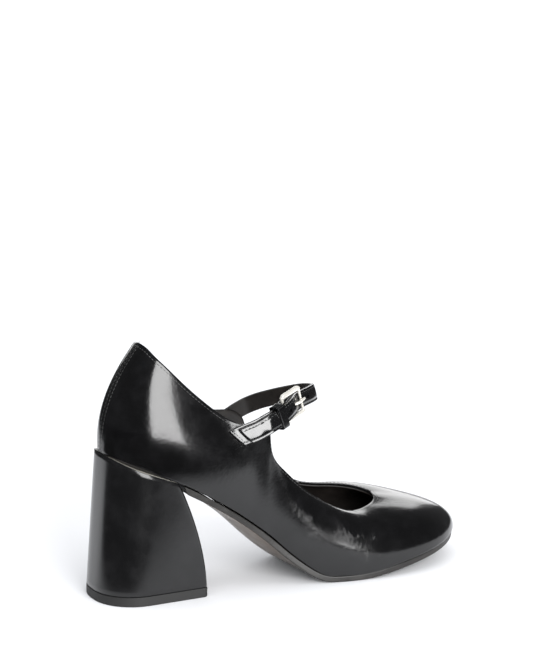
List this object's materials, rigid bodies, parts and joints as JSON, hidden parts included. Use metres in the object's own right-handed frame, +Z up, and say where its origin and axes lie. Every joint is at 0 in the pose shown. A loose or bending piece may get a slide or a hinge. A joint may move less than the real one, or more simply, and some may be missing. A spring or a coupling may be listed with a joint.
{
  "type": "block-heel bar shoe",
  "caption": "Right-foot block-heel bar shoe in polished black leather, with a low-cut vamp, a strap over the instep and a small bright buckle on the outer side.",
  "frame": {"origin": "middle of the shoe's plan box, on the ground", "axes": "+X from heel to toe, +Y to the inner side of the foot, +Z up"},
  "size_m": [0.215, 0.0756, 0.1354],
  "materials": {
    "polished_leather": "mirror-polished black, fine crease grain",
    "heel_leather": "semi-gloss black, stretched smooth",
    "lining_leather": "matte dark brown-black",
    "suede": "napped, matte",
    "sole_leather": "waxed dark edge, satin",
    "board": "matte fibreboard",
    "cork": "matte cork",
    "foam": "matte felted foam",
    "stiffener": "matte resin-stiffened cloth",
    "plastic": "matte moulded",
    "rubber": "matte",
    "steel": "plain steel",
    "bright_metal": "pale, highly polished plating"
  },
  "bodies": {
    "shoe": {"upper": "polished_leather", "heel_counter": "stiffener", "toe_puff": "stiffener", "heel_grip": "suede", "quarter_lining_outer": "lining_leather", "vamp_lining": "lining_leather", "quarter_lining_inner": "lining_leather", "outsole": "sole_leather", "forefoot_filler": "cork", "shank": "steel", "insole_board": "board", "heel_pad": "foam", "sock": "lining_leather", "heel_block": "plastic", "heel_cover": "heel_leather", "top_piece": "rubber", "top_piece_dowel_1": "steel", "top_piece_dowel_2": "steel", "heel_screw": "steel", "heel_nail_1": "steel", "heel_nail_2": "steel", "heel_nail_3": "steel", "heel_nail_4": "steel", "chape": "polished_leather", "keeper": "polished_leather"},
    "buckle": {"buckle_frame": "bright_metal"},
    "prong": {"prong": "bright_metal"},
    "strap": {"strap": "polished_leather", "strap_lining": "lining_leather"}
  },
  "joints": [
    {"name": "buckle_hinge", "type": "hinge", "parent": "shoe", "child": "buckle", "pos_m": [-0.00606, -0.0214, 0.09628], "axis": [0.2532, -0.0092, -0.9674], "range_deg": [0, 20]},
    {"name": "prong_hinge", "type": "hinge", "parent": "buckle", "child": "prong", "pos_m": [-0.00606, -0.0214, 0.09628], "axis": [0.2532, -0.0092, -0.9674], "range_deg": [0, 20]},
    {"name": "strap_opening", "type": "hinge", "parent": "shoe", "child": "strap", "pos_m": [-0.00373, 0.03081, 0.08501], "axis": [-0.3804, 0.0143, 0.9247], "range_deg": [0, 90], "deforming": ["strap", "strap_lining"]}
  ]
}
